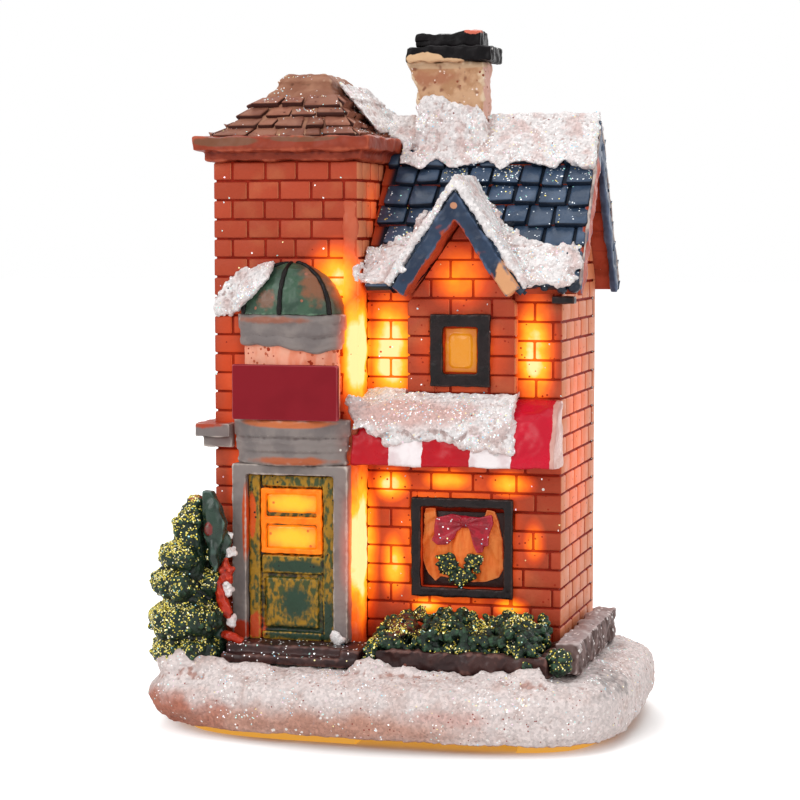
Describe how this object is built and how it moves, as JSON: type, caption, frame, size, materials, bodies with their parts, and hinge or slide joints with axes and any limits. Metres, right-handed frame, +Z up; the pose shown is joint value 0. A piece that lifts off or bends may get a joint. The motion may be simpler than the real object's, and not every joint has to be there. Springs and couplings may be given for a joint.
{
  "type": "light-up village house",
  "caption": "Small painted resin village house with a corner tower, slate roof and awning, lit from inside by a battery lamp, with a sliding battery cover and a slide switch underneath.",
  "frame": {"origin": "on the table, under the middle of the ground slab", "axes": "+Z up, the house front with its door and awning faces -Y, +X to the right seen from the front"},
  "size_m": [0.071, 0.0538, 0.1036],
  "materials": {
    "brick": "hand-painted terracotta red resin brickwork with dark mortar",
    "slate": "blue-grey painted resin slates with dark lower edges and glitter",
    "tile": "brown painted resin tiles with dark joints",
    "cornice": "brick-red painted resin with brown patches",
    "stucco": "pale peach painted resin",
    "grey_stone": "grey painted resin with rusty patches",
    "dark_stone": "dark brown painted resin stonework",
    "copper_green": "green painted resin with brown patina",
    "door_green": "antiqued green painted resin with dark lines",
    "amber_pane": "translucent amber window resin, lit from behind",
    "sign_red": "plain deep red painted board",
    "awning_red": "glossy red and white striped paint",
    "black_paint": "black painted resin",
    "curtain_ochre": "ochre painted resin drapes, lit from behind",
    "ribbon_red": "glossy red paint",
    "foliage": "dark green painted resin foliage with gold glitter",
    "snow": "matt white painted snow with iridescent glitter",
    "ground": "white painted snowy ground with a pink tint and glitter",
    "frosted": "frosted translucent plastic",
    "black_plastic": "black moulded plastic",
    "plated_steel": "nickel-plated steel",
    "lamp_lens": "clear warm-white lamp lens",
    "red_wire": "red wire sleeve",
    "black_wire": "black wire sleeve"
  },
  "bodies": {
    "root": {"tower_walls": "brick", "main_walls": "brick", "front_bay": "brick", "main_roof": "slate", "gable_bargeboard": "slate", "dormer_roof": "slate", "tower_roof": "tile", "tower_roof_cap": "tile", "tower_cornice": "cornice", "chimney_stack": "stucco", "door_bay": "stucco", "door_frame": "grey_stone", "bay_lower_cornice": "grey_stone", "bay_upper_cornice": "grey_stone", "string_course": "grey_stone", "door_step": "dark_stone", "planter_trough": "dark_stone", "right_kerb": "dark_stone", "bay_dome": "copper_green", "door_leaf": "door_green", "door_pane_upper": "amber_pane", "door_pane_lower": "amber_pane", "upper_window_pane": "amber_pane", "sign_board": "sign_red", "awning": "awning_red", "eave_bracket": "black_paint", "chimney_cap_lower": "black_paint", "chimney_cap_upper": "black_paint", "upper_window_frame": "black_paint", "shop_window_frame": "black_paint", "shop_curtains": "curtain_ochre", "ribbon_bow": "ribbon_red", "poinsettia": "ribbon_red", "wreath": "foliage", "planter_shrub": "foliage", "corner_bush": "foliage", "tree": "foliage", "snow_awning": "snow", "snow_ridge": "snow", "snow_tower": "snow", "snow_dormer": "snow", "snow_dome": "snow", "base_casting": "ground", "bottom_plate": "frosted", "battery_tray": "black_plastic", "switch_body": "black_plastic", "led_post": "black_plastic", "plate_screw_left": "plated_steel", "plate_screw_right": "plated_steel", "battery_contact": "plated_steel", "coin_cell_1": "plated_steel", "coin_cell_2": "plated_steel", "coin_cell_3": "plated_steel", "battery_spring": "plated_steel", "led_bulb": "lamp_lens", "lead_supply": "red_wire", "lead_switched": "red_wire", "lead_return": "black_wire"},
    "battery_door": {"battery_door": "frosted"},
    "switch_slider": {"switch_slider": "black_plastic"}
  },
  "joints": [
    {"name": "battery_door_slide", "type": "slide", "parent": "root", "child": "battery_door", "axis": [0, -1, 0], "range_m": [0, 0.02]},
    {"name": "switch_slide", "type": "slide", "parent": "root", "child": "switch_slider", "axis": [1, 0, 0], "range_m": [0, 0.002]}
  ]
}
